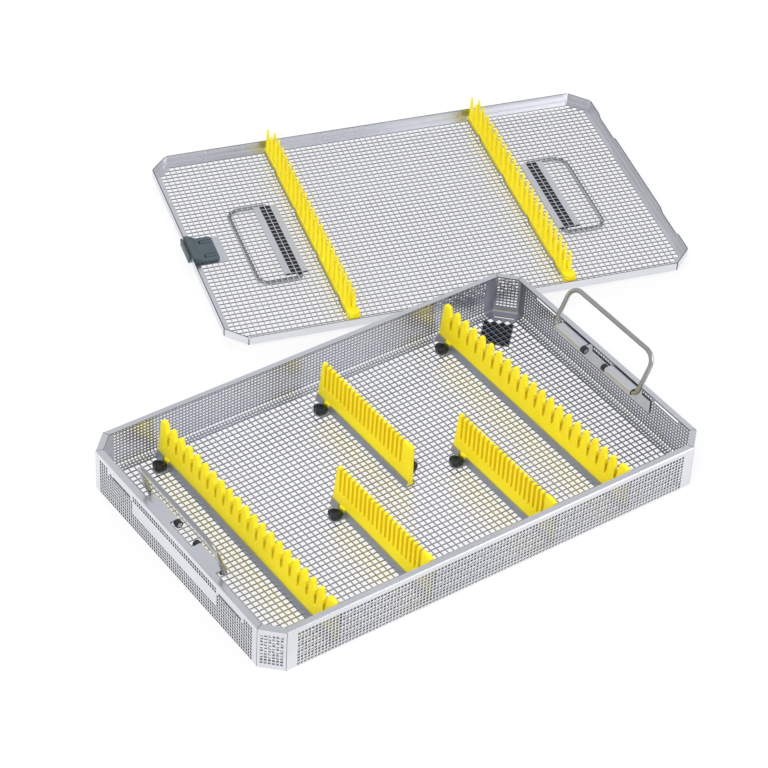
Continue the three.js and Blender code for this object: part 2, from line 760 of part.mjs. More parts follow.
function lidFlange(length, x, y, turn) {
  const blank = along(lid_section, -length / 2, length / 2);
  return mitred(blank, length, lid_foot, lid_slit / 2, lid_flange)
    .rotate([0, 0, THREE.MathUtils.radToDeg(turn)]).translate([x, y, 0]);
}

const lid_long_side = lid_length - lid_chamfer - lid_chamfer;
const lid_end_side = lid_width - lid_chamfer - lid_chamfer;
const lid_flanges = [
  lidFlange(lid_long_side, 0, -half_lid_width, 0),
  lidFlange(lid_end_side, half_lid_length, 0, quarter_turn),
  lidFlange(lid_long_side, 0, half_lid_width, Math.PI),
  lidFlange(lid_end_side, -half_lid_length, 0, -quarter_turn),
  ...Object.values(corners).map(([x_side, y_side, turn]) => lidFlange(lid_chamfer * Math.SQRT2,
    x_side * (half_lid_length - lid_corner_middle), y_side * (half_lid_width - lid_corner_middle), turn)),
];
const lid_net_x = half_lid_length - lid_border;
const lid_net_y = half_lid_width - lid_border;

function clearOfLidCorners(x, x_end, y, y_end) {
  const at_end = Math.max(Math.abs(x), Math.abs(x_end)) > lid_net_x - net_bar;
  const at_side = Math.max(Math.abs(y), Math.abs(y_end)) > lid_net_y - net_bar;
  return !(at_end && at_side);
}

const lid_windows = windows(-lid_net_x, lid_net_x, -lid_net_y, lid_net_y,
  floor_columns, floor_rows, clearOfLidCorners);
const lid_plan = cutCornerPlan(lid_length, lid_width, lid_chamfer,
  lid_fold_radius, lid_fold_radius, lid_fold_radius);
const tab_cuts = [-1, 1].map((side) => rectangle(
  half_lid_length - lid_fold_radius - overrun, half_lid_length + overrun,
  Math.min(side * tab_start, side * tab_end), Math.max(side * tab_start, side * tab_end)));
const slide_slot = rectangle(
  -half_lid_length - overrun, lid_fold_radius + overrun - half_lid_length,
  -slide_half_length - seam_gap, slide_half_length + seam_gap);
const lid_sheet = joined([raised(lid_plan, 0, sheet), ...lid_flanges])
  .subtract(raised(lid_windows, -overrun, sheet + overrun + overrun))
  .subtract(raised(tab_cuts, lid_flange - tab_drop, tab_drop + overrun))
  .subtract(raised(slide_slot, slide_bottom - seam_gap, slide_top - slide_bottom + seam_gap + seam_gap));
piece('lid_sheet', lid_sheet, steel, lid).position.z = lid_rest;

// Brackets and folded bails under the lid
const lid_bracket = joined([
  along(rectangle(-lid_bracket_outer, lid_bracket_inner, sleeve_bore, sleeve_radius),
    -lid_bracket_length / 2, lid_bracket_length / 2),
  along(ring(sleeve_radius, sleeve_bore, 0, 0), -lid_sleeve_end, -lid_sleeve_start),
  along(ring(sleeve_radius, sleeve_bore, 0, 0), lid_sleeve_start, lid_sleeve_end),
]);
const lid_bail = bail(lid_bail_half_width, lid_bail_reach, lid_sleeve_start - seam_gap);
for (const [side, direction] of [['left', -1], ['right', 1]]) {
  const frame = sideFrame(`lid_hinge_${side}`, direction * lid_hinge_x, 0, sleeve_radius,
    direction * quarter_turn, lid);
  piece(`lid_handle_bracket_${side}`, lid_bracket, steel, frame);
  piece(`lid_handle_${side}`, lid_bail, bright_steel, frame).rotation.x = quarter_turn;
}

// Pin combs on the lid: two staggered rows of slender pins on one base, with a plug at the front end
const lid_comb_length = lid_width - lid_comb_end_gap - lid_comb_end_gap;
const half_comb = lid_comb_length / 2;
const pin_pitch = lid_comb_length / lid_pin_count;
const pin_end = pin_tip_width / 2 + clip_radius;
const pin_waist = pin_pitch - (pin_tip_width + pin_foot_width) / 2;
const pin_depth = lid_comb_height - lid_comb_base;
const pin_form = {
  back_finger: pin_end,
  front_finger: pin_end,
  tip_corner: pin_end / 2,
  gap_top: pin_pitch - pin_tip_width,
  gap_waist: pin_waist,
  gap_bottom: pin_pitch - pin_foot_width,
  waist_depth: pin_depth / 2,
  gap_depth: pin_depth,
};

function pinRow(offset, shift) {
  const row_length = lid_comb_length - plug_radius - plug_radius - shift;
  const pins = fingerOutline(row_length, 0, lid_comb_height, lid_pin_count, pin_form);
  return through(pins, offset - pin_row_thickness / 2, offset + pin_row_thickness / 2)
    .translate([shift / 2 - plug_radius, 0, 0]);
}

const half_comb_width = lid_comb_width / 2;
const stagger = pin_pitch / 2;
const lid_comb = joined([
  raised(rectangle(-half_comb, half_comb, -half_comb_width, half_comb_width), 0, lid_comb_base),
  pinRow(-pin_row_offset, 0),
  pinRow(pin_row_offset, stagger),
  raised(disc(plug_radius, round_steps, half_comb - plug_radius, 0), 0, plug_height),
]).rotate([0, 0, -THREE.MathUtils.radToDeg(quarter_turn)]);

// Clip wire beside each pin comb: one wire with four raised loops
const clip_front = plug_radius + plug_radius + clip_radius - half_comb;
const clip_points = [new THREE.Vector3(0, clip_front, 0)];
for (let loop = 0; loop < clip_loop_count; loop += 1) {
  const middle = ((loop + 1 / 2) / clip_loop_count - 1 / 2) * lid_comb_length;
  const loop_start = middle - clip_loop_length / 2;
  const loop_end = middle + clip_loop_length / 2;
  clip_points.push(new THREE.Vector3(0, loop_start - clip_rise / 2, 0), new THREE.Vector3(0, loop_start, clip_rise));
  clip_points.push(new THREE.Vector3(0, loop_end, clip_rise), new THREE.Vector3(0, loop_end + clip_rise / 2, 0));
}
clip_points.push(new THREE.Vector3(0, half_comb, 0));
const clip_bends = clip_points.slice(2).map(() => clip_radius + clip_radius);
const clip_wire = bentWire(clip_points, clip_bends, clip_radius, clip_facet_count, 1);
const lid_face = lid_rest + sheet + seat_gap;
for (const [side, direction] of [['left', -1], ['right', 1]]) {
  const x = direction * lid_comb_x;
  piece(`lid_pin_comb_${side}`, lid_comb, yellow_silicone, lid).position.set(x, 0, lid_face);
  const clip_x = x - half_comb_width - clip_radius - seam_gap;
  piece(`lid_comb_clip_${side}`, clip_wire, bright_steel, lid).position.set(clip_x, 0, lid_face + clip_radius);
}

// Latch: bevelled body with two sprung tongues, and the slider whose grip stands outside the flange
const latch_start = sheet + seat_gap;
const latch_frame = sideFrame('latch_frame', -half_lid_length, 0, lid_rest, -quarter_turn, lid);
const latch_section = outline([
  [latch_start, latch_start + lid_fold_radius], [latch_start + lid_fold_radius, latch_start],
  [latch_reach, latch_start], [latch_reach, latch_start + latch_plate],
  [latch_block_foot, latch_start + latch_plate], [latch_block_top, latch_block_height],
  [latch_start + sheet, latch_block_height], [latch_start, latch_block_height - sheet],
]);
const latch_half = latch_length / 2;
const latch_plan = outline([
  [-latch_half, 0], [latch_half, 0], [latch_half, latch_reach - latch_corner],
  [latch_half - latch_corner, latch_reach], [latch_corner - latch_half, latch_reach],
  [-latch_half, latch_reach - latch_corner],
]);
const tongue_back = latch_reach - latch_corner;
const tongue_front = tongue_back - tongue_length;
const tongue_half = tongue_width / 2;
const tongue_cuts = [-1, 1].flatMap((side) => {
  const middle = side * tongue_offset;
  return [
    rectangle(middle - tongue_half - tongue_slot, middle - tongue_half, tongue_front, tongue_back),
    rectangle(middle + tongue_half, middle + tongue_half + tongue_slot, tongue_front, tongue_back),
    rectangle(middle - tongue_half - tongue_slot, middle + tongue_half + tongue_slot,
      tongue_front - tongue_slot, tongue_front + seat_gap),
  ];
}).map((shape) => raised(shape, -overrun, latch_block_height + overrun));
const slide_pocket = raised(
  rectangle(-slide_half_length - seam_gap, slide_half_length + seam_gap, 0, slide_depth + seam_gap),
  slide_bottom - seam_gap, slide_top - slide_bottom + seam_gap + seam_gap);
const latch_body = along(latch_section, -latch_half, latch_half)
  .intersect(raised(latch_plan, 0, latch_block_height))
  .subtract(joined(tongue_cuts))
  .subtract(slide_pocket);
piece('latch_body', latch_body, slate_plastic, latch_frame);

const grip_back = -seam_gap;
const grip_front = grip_back - grip_thickness;
const latch_slider = raised(rectangle(-slide_half_length, slide_half_length, grip_front, slide_depth),
  slide_bottom, slide_top - slide_bottom)
  .add(raised(rectangle(-grip_half_length, grip_half_length, grip_front, grip_back),
    grip_bottom, grip_top - grip_bottom));
piece('latch_slider', latch_slider, slate_plastic, latch_frame);

export default object;
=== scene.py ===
import math
from collections import Counter

import bmesh
import bpy
from mathutils import Matrix, Vector


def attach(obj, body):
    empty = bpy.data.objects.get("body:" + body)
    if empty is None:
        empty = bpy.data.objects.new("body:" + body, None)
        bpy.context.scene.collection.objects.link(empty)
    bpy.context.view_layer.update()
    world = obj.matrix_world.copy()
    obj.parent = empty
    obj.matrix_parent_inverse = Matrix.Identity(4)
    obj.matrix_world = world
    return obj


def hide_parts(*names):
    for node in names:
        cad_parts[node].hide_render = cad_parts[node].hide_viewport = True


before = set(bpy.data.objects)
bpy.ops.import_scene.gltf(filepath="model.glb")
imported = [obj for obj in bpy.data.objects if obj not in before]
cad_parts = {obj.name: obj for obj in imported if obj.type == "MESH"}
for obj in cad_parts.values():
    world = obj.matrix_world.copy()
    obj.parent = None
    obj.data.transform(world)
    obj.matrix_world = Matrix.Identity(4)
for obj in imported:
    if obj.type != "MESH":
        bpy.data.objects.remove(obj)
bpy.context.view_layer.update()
mm = 0.001

# Camera: the photograph's viewpoint, high on the front left of the tray, with a
# long lens. The shift stands for the way the picture is cropped.
camera = bpy.data.objects.new("camera", bpy.data.cameras.new("camera"))
camera.data.lens = 138.4
camera.data.sensor_width = 36
camera.data.shift_x = 0.0501
camera.data.shift_y = -0.0311
camera.data.clip_end = 20
camera.location = (-1.03702, -1.34824, 1.53282)
camera.rotation_euler = [math.radians(turn) for turn in (50.184, -2.057, -34.373)]
bpy.context.scene.collection.objects.link(camera)
bpy.context.scene.camera = camera

# Studio: a white table that keeps the soft shadow, a plain bright room, and three
# large lamps, so that the folded sheet shows light, mid and dark faces.
room_tint = (0.79, 0.80, 0.84, 1)
room_strength = 0.84
table_tint = (0.86, 0.86, 0.87, 1)
table_glow_strength = 1.06
table_glow_share = 0.7
table_half = 4
table_top = -0.4 * mm
lamp_aim = Vector((0.1, 0.1, 0))
# Each lamp's place, width, watts, and whether the steel mirrors it.
lamps = {
    "key_lamp": ((-1.5, -0.8, 1.3), 1.2, 28, False),
    "fill_lamp": ((1.2, -1.4, 1.1), 1.4, 12, True),
    "back_lamp": ((0.5, 1.8, 1.5), 1.2, 12, False),
}

bpy.context.scene.view_settings.view_transform = "Standard"
world = bpy.data.worlds.new("room")
bpy.context.scene.world = world
world.use_nodes = True
room_nodes = world.node_tree.nodes
room_nodes["Background"].inputs["Color"].default_value = room_tint
room_nodes["Background"].inputs["Strength"].default_value = room_strength
white_room = room_nodes.new("ShaderNodeBackground")
white_room.inputs["Color"].default_value = (1, 1, 1, 1)
room_path = room_nodes.new("ShaderNodeLightPath")
room_mix = room_nodes.new("ShaderNodeMixShader")
for start, end in (
    (room_path.outputs["Is Camera Ray"], room_mix.inputs["Fac"]),
    (room_nodes["Background"].outputs[0], room_mix.inputs[1]),
    (white_room.outputs[0], room_mix.inputs[2]),
    (room_mix.outputs[0], room_nodes["World Output"].inputs["Surface"]),
):
    world.node_tree.links.new(start, end)

table_shape = bmesh.new()
bmesh.ops.create_grid(table_shape, x_segments=1, y_segments=1, size=table_half)
bmesh.ops.translate(table_shape, verts=table_shape.verts, vec=(0, 0, table_top))
table = bpy.data.objects.new("table", bpy.data.meshes.new("table"))
table_shape.to_mesh(table.data)
table_shape.free()
bpy.context.scene.collection.objects.link(table)

table_paint = bpy.data.materials.new("white_table")
table_paint.use_nodes = True
table_nodes = table_paint.node_tree.nodes
table_nodes["Principled BSDF"].inputs["Base Color"].default_value = table_tint
table_nodes["Principled BSDF"].inputs["Roughness"].default_value = 0.8
table_glow = table_nodes.new("ShaderNodeEmission")
table_glow.inputs["Strength"].default_value = table_glow_strength
table_path = table_nodes.new("ShaderNodeLightPath")
table_seen = table_nodes.new("ShaderNodeMath")
table_seen.operation = "MAXIMUM"
table_lift = table_nodes.new("ShaderNodeMath")
table_lift.operation = "MULTIPLY"
table_lift.inputs[1].default_value = table_glow_share
table_mix = table_nodes.new("ShaderNodeMixShader")
for start, end in (
    (table_path.outputs["Is Camera Ray"], table_seen.inputs[0]),
    (table_path.outputs["Is Glossy Ray"], table_seen.inputs[1]),
    (table_seen.outputs[0], table_lift.inputs[0]),
    (table_lift.outputs[0], table_mix.inputs["Fac"]),
    (table_nodes["Principled BSDF"].outputs[0], table_mix.inputs[1]),
    (table_glow.outputs[0], table_mix.inputs[2]),
    (table_mix.outputs[0], table_nodes["Material Output"].inputs["Surface"]),
):
    table_paint.node_tree.links.new(start, end)
table.data.materials.append(table_paint)

for lamp_name, (place, width, watts, mirrored) in lamps.items():
    lamp = bpy.data.objects.new(lamp_name, bpy.data.lights.new(lamp_name, "AREA"))
    lamp.data.size = width
    lamp.data.energy = watts
    lamp.location = place
    lamp.visible_glossy = mirrored
    lamp.rotation_euler = (lamp_aim - lamp.location).to_track_quat("-Z", "Y").to_euler()
    bpy.context.scene.collection.objects.link(lamp)

# Tray floor: one sheet of stainless steel, punched with square holes out to its edge,
# where the folded feet of the walls take over. It is electropolished, so it is even
# and slightly cloudy, with a faint rolling grain.
sheet = 0.8 * mm
grain_height = 0.05 * mm
floor_half = Vector((195.3, 120.3)) * mm
floor_chamfer = 13.25 * mm
floor_corner_border = 4.5 * mm
floor_pitch = 5 * mm
floor_bar = 0.95 * mm
floor_columns, floor_rows = 78, 48
# How near a point has to be, to be cut by a plane, to be one with another, or to lie on a line.
cut_reach, merge_reach, near = 1e-7, 1e-6, 1e-5

finish_group = bpy.data.node_groups.new("clouded_finish", "ShaderNodeTree")
for way, kind, labels in (
    ("INPUT", "NodeSocketFloat", ("Scale", "Grain Scale", "Low", "High")),
    ("INPUT", "NodeSocketColor", ("Dark", "Light")),
    ("OUTPUT", "NodeSocketColor", ("Color",)),
    ("OUTPUT", "NodeSocketFloat", ("Roughness", "Height")),
):
    for label in labels:
        finish_group.interface.new_socket(label, in_out=way, socket_type=kind)
finish_in = finish_group.nodes.new("NodeGroupInput")
finish_out = finish_group.nodes.new("NodeGroupOutput")
finish_place = finish_group.nodes.new("ShaderNodeTexCoord")
cloud = finish_group.nodes.new("ShaderNodeTexNoise")
cloud.inputs["Detail"].default_value = 3
grain = finish_group.nodes.new("ShaderNodeTexNoise")
grain.inputs["Detail"].default_value = 2
cloud_rough = finish_group.nodes.new("ShaderNodeMapRange")
cloud_colour = finish_group.nodes.new("ShaderNodeMix")
cloud_colour.data_type = "RGBA"
# The colour sockets of a Mix node share their names with others, so they go by number.
mix_dark, mix_light = cloud_colour.inputs[6], cloud_colour.inputs[7]
mixed_colour = cloud_colour.outputs[2]
for start, end in (
    (finish_place.outputs["Object"], cloud.inputs["Vector"]),
    (finish_place.outputs["Object"], grain.inputs["Vector"]),
    (finish_in.outputs["Scale"], cloud.inputs["Scale"]),
    (finish_in.outputs["Grain Scale"], grain.inputs["Scale"]),
    (cloud.outputs["Fac"], cloud_colour.inputs["Factor"]),
    (finish_in.outputs["Dark"], mix_dark),
    (finish_in.outputs["Light"], mix_light),
    (cloud.outputs["Fac"], cloud_rough.inputs["Value"]),
    (finish_in.outputs["Low"], cloud_rough.inputs["To Min"]),
    (finish_in.outputs["High"], cloud_rough.inputs["To Max"]),
    (mixed_colour, finish_out.inputs["Color"]),
    (cloud_rough.outputs["Result"], finish_out.inputs["Roughness"]),
    (grain.outputs["Fac"], finish_out.inputs["Height"]),
):
    finish_group.links.new(start, end)


def clouded_material(name, dark, light, roughness, metallic, clouds, grains, bump, specular=0.5):
    """A finish that drifts between two tones and two roughnesses, with a fine grain."""
    material = bpy.data.materials.new(name)
    material.use_nodes = True
    nodes = material.node_tree.nodes
    shader = nodes["Principled BSDF"]
    shader.inputs["Metallic"].default_value = metallic
    shader.inputs["Specular IOR Level"].default_value = specular
    finish = nodes.new("ShaderNodeGroup")
    finish.node_tree = finish_group
    for label, value in (("Scale", clouds), ("Grain Scale", grains), ("Low", roughness[0]),
                         ("High", roughness[1]), ("Dark", (*dark, 1)), ("Light", (*light, 1))):
        finish.inputs[label].default_value = value
    grain_bump = nodes.new("ShaderNodeBump")
    grain_bump.inputs["Strength"].default_value = bump
    grain_bump.inputs["Distance"].default_value = grain_height
    for start, end in (
        (finish.outputs["Color"], shader.inputs["Base Color"]),
        (finish.outputs["Roughness"], shader.inputs["Roughness"]),
        (finish.outputs["Height"], grain_bump.inputs["Height"]),
        (grain_bump.outputs["Normal"], shader.inputs["Normal"]),
    ):
        material.node_tree.links.new(start, end)
    return material


# The tray's steel in a darker tone, painted shade: the floor and the inner faces of the walls and corner
# panels, down inside the tray.
shaded_sheet_steel = clouded_material(
    "shaded_sheet_steel", dark=(0.45, 0.465, 0.53), light=(0.74, 0.755, 0.84), roughness=(0.26, 0.42),
    metallic=1.0, clouds=9, grains=900, bump=0.25)
# The cut sides of the punched holes and the sheets' edges, painted nearly black as the shade down in the
# holes.
hole_shade_steel = clouded_material(
    "hole_shade_steel", dark=(0.07, 0.072, 0.085), light=(0.15, 0.152, 0.175), roughness=(0.35, 0.5),
    metallic=0.8, clouds=40, grains=900, bump=0.2)


def steel_piece(name, shape, material, node, body, wall=sheet, inside=None):
    """A piece in place of a CAD node. A sheet is drawn as its outer face, with its wall behind it."""
    mesh = bpy.data.meshes.new(name)
    shape.to_mesh(mesh)
    shape.free()
    piece = bpy.data.objects.new(name, mesh)
    bpy.context.scene.collection.objects.link(piece)
    mesh.materials.append(material)
    if wall:
        # Cut edges and hole sides take the near-black painted shade.
        mesh.materials.append(hole_shade_steel)
        mesh.materials.append(inside or material)
        solid = piece.modifiers.new("sheet", "SOLIDIFY")
        solid.material_offset_rim = 1
        solid.material_offset = 2
        solid.thickness = wall
        solid.offset = -1
        solid.use_even_offset = True
    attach(piece, body)
    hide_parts(node)
    return piece


def perforated(columns, rows, pitch, bar, wanted):
    """A flat grid about the origin with a square hole in every wanted cell."""
    shape = bmesh.new()
    bmesh.ops.create_grid(shape, x_segments=columns, y_segments=rows, size=0.5)
    bmesh.ops.scale(shape, verts=shape.verts, vec=(columns * pitch, rows * pitch, 1))
    cells = [face for face in shape.faces if wanted(face.calc_center_median())]
    bmesh.ops.inset_individual(shape, faces=cells, thickness=bar / 2)
    bmesh.ops.delete(shape, geom=cells, context="FACES")
    return shape


def stretch_edges(shape, columns, rows, pitch, half_x, half_y):
    """Moves the outermost rows of a grid out to the sheet's own edge."""
    for vert in shape.verts:
        if abs(vert.co.x) > (columns / 2 + 0.5) * pitch:
            vert.co.x = math.copysign(half_x, vert.co.x)
        if abs(vert.co.y) > (rows / 2 + 0.5) * pitch:
            vert.co.y = math.copysign(half_y, vert.co.y)


def cut(shape, place, across, clear=False):
    """Cuts the sheet along a plane, and takes away what lies beyond it where clear is set."""
    bmesh.ops.bisect_plane(shape, geom=shape.verts[:] + shape.edges[:] + shape.faces[:], dist=cut_reach,
                           plane_co=place, plane_no=across, clear_outer=clear)


def cut_corners(shape, half_x, half_y, chamfer):
    """Cuts the four corners of a flat sheet at 45 degrees."""
    for x_side in (-1, 1):
        for y_side in (-1, 1):
            middle = Vector((x_side * (half_x - chamfer / 2), y_side * (half_y - chamfer / 2), 0))
            cut(shape, middle, (x_side, y_side, 0), clear=True)


def floor_holes(at):
    """Holes everywhere but in the outermost bars and along the cut corners."""
    along, across = abs(at.x), abs(at.y)
    in_net = along < floor_columns / 2 * floor_pitch and across < floor_rows / 2 * floor_pitch
    corner = floor_half.x + floor_half.y - floor_chamfer - floor_corner_border
    return in_net and along + across < corner


floor_shape = perforated(floor_columns + 2, floor_rows + 2, floor_pitch, floor_bar, floor_holes)
stretch_edges(floor_shape, floor_columns, floor_rows, floor_pitch, floor_half.x, floor_half.y)
cut_corners(floor_shape, floor_half.x, floor_half.y, floor_chamfer)
bmesh.ops.reverse_faces(floor_shape, faces=floor_shape.faces)
steel_piece("perforated_floor", floor_shape, shaded_sheet_steel, "tray_floor", "tray")

# Walls: four sheets of the same steel with smaller holes, each punched flat and then
# folded. The lower edge is folded in as a foot beside the floor, holes and all, and
# the upper edge is folded in flat as the rim.
tray_half = Vector((203, 128)) * mm
tray_chamfer = 15.5 * mm
wall_height = 40 * mm
wall_pitch = 3 * mm
wall_bar = 1.3 * mm
wall_rows = 15
wall_blank_middle = 16.2 * mm
wall_hole_top = 35.7 * mm
wall_fold, wall_foot, fold_steps = 3 * mm, 7.4 * mm, 6
rim_fold, rim_reach, rim_steps = 1.2 * mm, 5.4 * mm, 4
seam = 0.2 * mm
mitre = math.radians(22.5)
long_wall_columns, end_wall_columns = 119, 71
# The end walls are plain behind the brackets' plates, and have two slots under the rim.
band_half, band_low, band_high = 58.5 * mm, 17.7 * mm, 29.7 * mm
slot_start, slot_end, slot_low, slot_high = 61.5 * mm, 91.5 * mm, 30 * mm, 32.9 * mm
slot_border = 3.5 * mm
fold_length = wall_fold * math.pi / 2
foot_drop = wall_foot + fold_length - wall_fold - wall_fold
# Each wall's place, its turn, and half its length between the corner panels.
sides = {
    "front": (0, -tray_half.y, 0, tray_half.x - tray_chamfer),
    "right": (tray_half.x, 0, 90, tray_half.y - tray_chamfer),
    "back": (0, tray_half.y, 180, tray_half.x - tray_chamfer),
    "left": (-tray_half.x, 0, -90, tray_half.y - tray_chamfer),
}
# The same steel in a lighter tone, a painted reflection of the bright room: the outer faces and rims of the
# walls, the lid and the brackets.
satin_steel = clouded_material(
    "satin_steel", dark=(0.68, 0.69, 0.72), light=(0.84, 0.85, 0.885), roughness=(0.2, 0.36),
    metallic=1.0, clouds=14, grains=900, bump=0.25)


def side_place(x, y, z, turn):
    """Where a piece goes that is drawn along x with the tray's inside towards y."""
    return Matrix.Translation((x, y, z)) @ Matrix.Rotation(math.radians(turn), 4, "Z")


def loose_edges(shape, on_line):
    """The open edges whose two ends are both on a line."""
    return [edge for edge in shape.edges if edge.is_boundary and all(on_line(vert.co) for vert in edge.verts)]


def fold(shape, edges, centre, axis, angle, steps):
    """Bends the sheet on from its open edges and gives the new open edges."""
    rim = edges + list({vert for edge in edges for vert in edge.verts})
    turned = bmesh.ops.spin(shape, geom=rim, cent=centre, axis=axis, angle=angle, steps=steps)["geom_last"]
    return [part for part in turned if isinstance(part, bmesh.types.BMEdge)]


def run_on(shape, edges, way):
    """Carries the sheet straight on from its open edges and gives the new edges."""
    grown = bmesh.ops.extrude_edge_only(shape, edges=edges)["geom"]
    ends = [part for part in grown if isinstance(part, bmesh.types.BMVert)]
    bmesh.ops.translate(shape, verts=ends, vec=way)
    return [part for part in grown if isinstance(part, bmesh.types.BMEdge)]


def face_outward(shape, outward):
    """Turns the sheet's faces so that most of them look along outward."""
    bmesh.ops.recalc_face_normals(shape, faces=shape.faces)
    if sum(face.normal.dot(outward) * face.calc_area() for face in shape.faces) < 0:
        bmesh.ops.reverse_faces(shape, faces=shape.faces)


def cut_slots(shape):
    """Takes two slots out of the flat blank and brings their long edges to the slot's height."""
    cells = [face for face in shape.faces
             if slot_start < abs(face.calc_center_median().x) < slot_end
             and slot_low < face.calc_center_median().y < slot_high + wall_pitch]
    bmesh.ops.delete(shape, geom=cells, context="FACES")
    for vert in shape.verts:
        beside = slot_start - near < abs(vert.co.x) < slot_end + near
        if beside and slot_low - wall_bar / 2 < vert.co.y < slot_high + wall_pitch:
            vert.co.y = slot_low if vert.co.y < (slot_low + slot_high) / 2 else slot_high


def roll_foot(shape):
    """Rolls the blank in below the fold line; up to there its y is the height over the table."""
    for step in range(fold_steps + 1):
        cut(shape, (0, wall_fold - fold_length * step / fold_steps, 0), (0, 1, 0))
    for vert in shape.verts:
        past = wall_fold - vert.co.y
        turn = min(max(past / wall_fold, 0), math.pi / 2)
        inward = wall_fold - wall_fold * math.cos(turn) + max(past - fold_length, 0)
        height = wall_fold - wall_fold * math.sin(turn) - min(past, 0)
        vert.co = Vector((vert.co.x, inward, height))


def wall_sheet(columns, half_length, wanted, slots=False):
    """A wall drawn flat, holes and all, then folded; wanted is asked for x and height."""
    shape = perforated(columns + 2, wall_rows, wall_pitch, wall_bar,
                       lambda at: abs(at.x) < columns / 2 * wall_pitch
                       and wanted(abs(at.x), at.y + wall_blank_middle))
    bmesh.ops.translate(shape, verts=shape.verts, vec=(0, wall_blank_middle, 0))
    if slots:
        cut_slots(shape)
    # The blank's outermost points go out to the fold of the rim, the foot's end and the corners.
    blank_half = wall_rows / 2 * wall_pitch
    for vert in shape.verts:
        if vert.co.y > wall_blank_middle + blank_half - wall_bar / 4:
            vert.co.y = wall_height - rim_fold
        if vert.co.y < wall_blank_middle - blank_half + wall_bar / 4:
            vert.co.y = -foot_drop
        if abs(vert.co.x) > (columns / 2 + 0.5) * wall_pitch:
            vert.co.x = math.copysign(half_length, vert.co.x)
    roll_foot(shape)
    top = loose_edges(shape, lambda at: at.z > wall_height - rim_fold - near)
    top = fold(shape, top, (0, rim_fold, wall_height - rim_fold), (1, 0, 0), -math.pi / 2, rim_steps)
    run_on(shape, top, (0, rim_reach - rim_fold, 0))
    for end in (-1, 1):
        end_place = (end * (half_length - seam), 0, 0)
        cut(shape, end_place, (end * math.cos(mitre), math.sin(mitre), 0), clear=True)
    bmesh.ops.remove_doubles(shape, verts=shape.verts, dist=merge_reach)
    face_outward(shape, Vector((0, -1, 0.3)))
    return shape


def long_wall_holes(across, up):
    return up < wall_hole_top


def end_wall_holes(across, up):
    in_band = across < band_half and band_low < up < band_high
    over_slot = slot_start - slot_border < across < slot_end + slot_border and up > band_high
    return up < wall_hole_top and not in_band and not over_slot


for side, (x, y, turn, half_side) in sides.items():
    if side in ("front", "back"):
        wall_shape = wall_sheet(long_wall_columns, half_side, long_wall_holes)
        wall_node = f"long_wall_{side}"
    else:
        wall_shape = wall_sheet(end_wall_columns, half_side, end_wall_holes, slots=True)
        wall_node = f"end_wall_{side}"
    bmesh.ops.transform(wall_shape, matrix=side_place(x, y, 0, turn), verts=wall_shape.verts)
    # Each wall: the painted light tone outside and on the rim, the painted shade tone inside.
    steel_piece(f"perforated_wall_{side}", wall_shape, satin_steel, wall_node, "tray", inside=shaded_sheet_steel)

# Corner panels: short sheets across the cut corners, punched and folded as the walls
# are, with their own bit of foot and rim. Mitred ends meet the walls at a fine seam.
corner_columns = 6
corner_hole_low = 6 * mm
corner_half = tray_chamfer * math.sqrt(2) / 2
# The side that each panel lies on along x and along y, and its turn.
corner_turns = {
    "front_right": (1, -1, 45), "back_right": (1, 1, 135),
    "back_left": (-1, 1, -135), "front_left": (-1, -1, -45),
}


def corner_holes(across, up):
    return corner_hole_low < up < wall_hole_top


for corner, (x_side, y_side, turn) in corner_turns.items():
    panel_shape = wall_sheet(corner_columns, corner_half, corner_holes)
    panel_place = side_place(x_side * (tray_half.x - tray_chamfer / 2),
                             y_side * (tray_half.y - tray_chamfer / 2), 0, turn)
    bmesh.ops.transform(panel_shape, matrix=panel_place, verts=panel_shape.verts)
    # Each panel: the painted light tone outside and on the rim, the painted shade tone inside.
    steel_piece(f"perforated_corner_{corner}", panel_shape, satin_steel, f"corner_panel_{corner}", "tray",
                inside=shaded_sheet_steel)

# Bail handles: one steel wire each, bent in a press. The feet turn in to run in two
# sleeves, rolled from the thin plate that is welded to the end wall, and the grip's
# corners are wide enough for a gloved hand.
wire_radius, wire_sides = 2 * mm, 20
foot_bend, grip_bend = 4.2 * mm, 11 * mm
bend_step = 11
bail_half, bail_height, bail_foot_end = 52.5 * mm, 36.5 * mm, 11.2 * mm
bail_lean = {"left": 18, "right": 25}
pivot_inset, pivot_height = 12.3 * mm, 36.7 * mm
sleeve_radius, sleeve_turn, sleeve_steps = 2.8 * mm, math.radians(300), 25
sleeve_start, sleeve_end = 15.5 * mm, 48 * mm
plate_half, plate_inset, plate_low, plate_high = 58.5 * mm, 0.9 * mm, 17.3 * mm, 29.3 * mm
# How a strap bends away from the wall under the rim, on its way to the top of its sleeve.
strap_bend = ((0.9, 36.5), (0.9, 36.8), (1.2, 37.7), (2.0, 38.2), (2.3, 38.24), (12.0, 39.46))
strap_path = [Vector((0, *point)) * mm for point in strap_bend]
strap_path.append(Vector((0, pivot_inset, pivot_height + sleeve_radius)))
polished_wire = clouded_material(
    "polished_wire", dark=(0.38, 0.39, 0.40), light=(0.52, 0.53, 0.54), roughness=(0.16, 0.26),
    metallic=1.0, clouds=60, grains=1500, bump=0.05)


